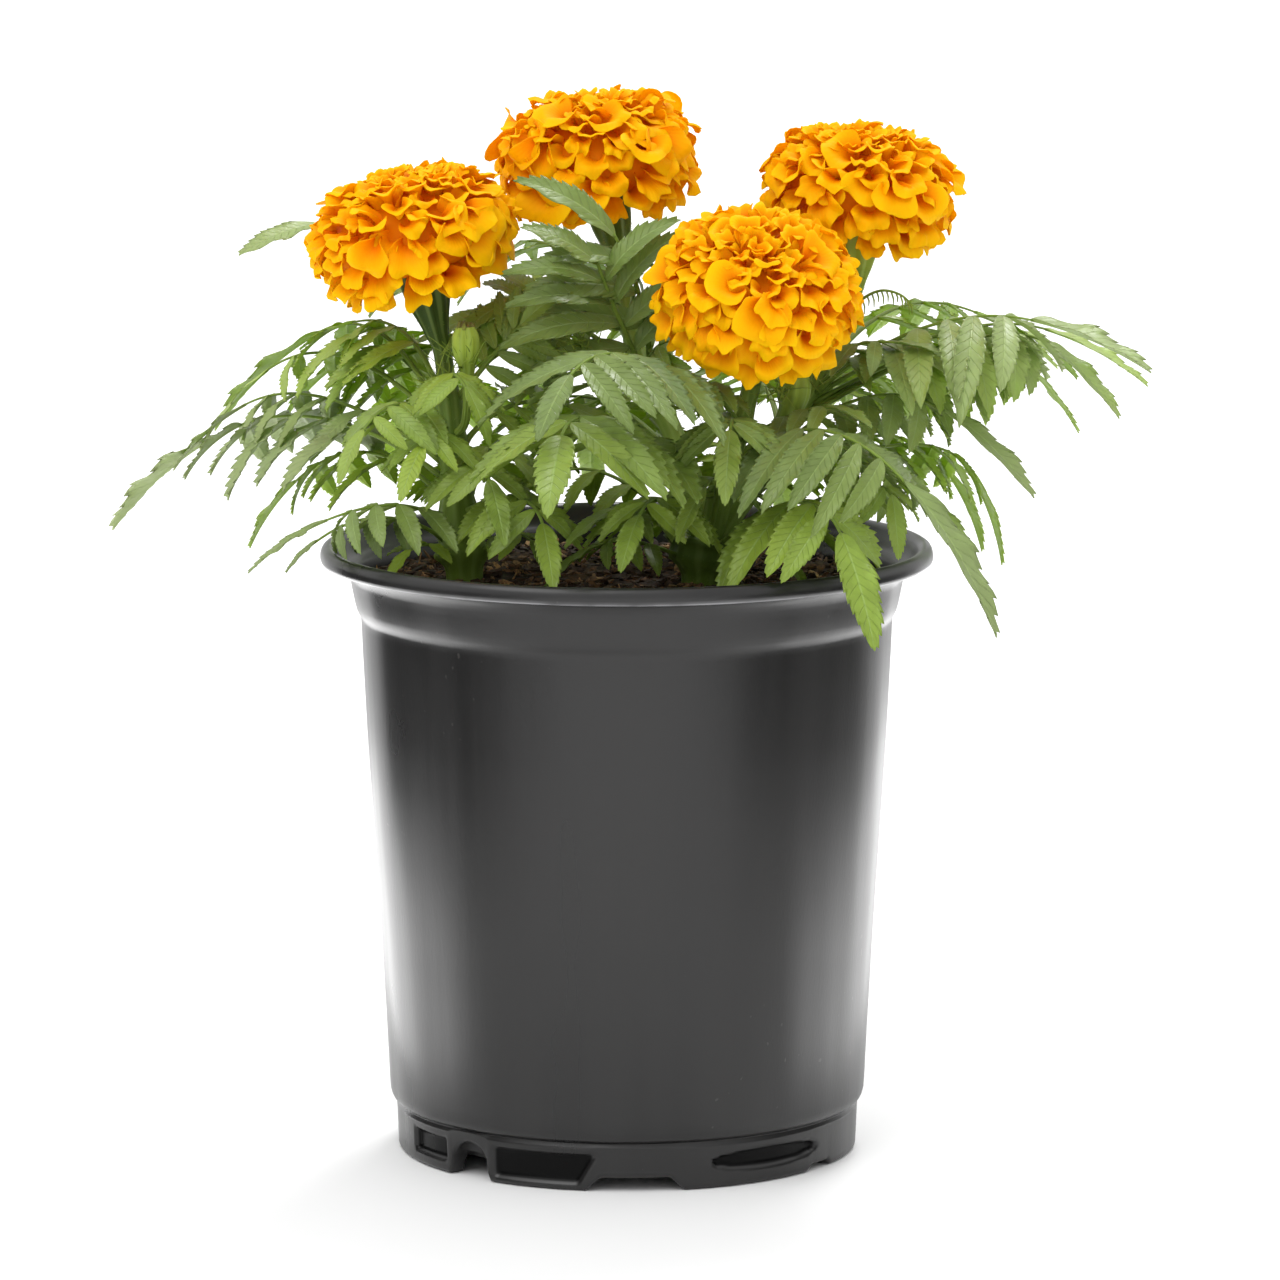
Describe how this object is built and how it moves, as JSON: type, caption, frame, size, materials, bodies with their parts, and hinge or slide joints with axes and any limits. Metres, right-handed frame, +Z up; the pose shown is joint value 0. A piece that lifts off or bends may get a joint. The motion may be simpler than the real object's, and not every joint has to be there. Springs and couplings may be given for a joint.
{
  "type": "potted marigold",
  "caption": "Round nursery pot filled with soil, holding branched green stems with cut compound leaves and double orange pompom blooms; stands on its foot.",
  "frame": {"origin": "centre of the pot's foot, on the surface that it stands on", "axes": "+Z up along the pot's axis; -Y is the side that the plant shows to the viewer, +X to that viewer's right"},
  "size_m": [0.2838, 0.2155, 0.2867],
  "materials": {
    "pot_plastic": "black blow-moulded polypropylene, satin with soft gloss, faint upright streaks and handling scuffs",
    "potting_soil": "matte dark peat with pale bark and fibre chips",
    "green_stem": "ribbed pale green with fine hairs, waxy",
    "green_leaf": "veined mid green, satin, paler midrib and underside",
    "orange_petal": "soft velvety orange, brighter at the ruffled margins and deep orange in the throats"
  },
  "bodies": {
    "root": {"pot": "pot_plastic", "soil": "potting_soil", "stem_left": "green_stem", "stem_right": "green_stem", "bloom_left": "orange_petal", "bloom_back": "orange_petal", "bloom_front": "orange_petal", "bloom_right": "orange_petal", "bud_left": "green_stem", "bud_front": "green_stem", "leaf_left_far": "green_leaf", "leaf_left_top": "green_leaf", "leaf_left_arch": "green_leaf", "leaf_left_upper": "green_leaf", "leaf_left_gap": "green_leaf", "leaf_left_low": "green_leaf", "leaf_left_under": "green_leaf", "leaf_left_front": "green_leaf", "leaf_left_back": "green_leaf", "leaf_left_back_low": "green_leaf", "leaf_left_centre": "green_leaf", "leaf_front_upper": "green_leaf", "leaf_front_lower": "green_leaf", "leaf_rising": "green_leaf", "leaf_centre_high": "green_leaf", "leaf_fork": "green_leaf", "leaf_small": "green_leaf", "leaf_centre_back": "green_leaf", "leaf_centre_low": "green_leaf", "leaf_right_front": "green_leaf", "leaf_right_low": "green_leaf", "leaf_right_far": "green_leaf", "leaf_right_mid": "green_leaf", "leaf_right_behind": "green_leaf", "leaf_right_back": "green_leaf", "leaf_back_right": "green_leaf", "leaf_back_upper": "green_leaf", "leaf_back_lower": "green_leaf", "leaf_back_low_right": "green_leaf", "leaf_left_inner": "green_leaf", "leaf_right_inner": "green_leaf", "leaf_back_high": "green_leaf", "leaf_front_bottom": "green_leaf", "leaf_low_left": "green_leaf", "leaf_low_centre_left": "green_leaf", "leaf_low_centre": "green_leaf", "leaf_low_right": "green_leaf", "leaf_low_back": "green_leaf"}
  },
  "joints": []
}
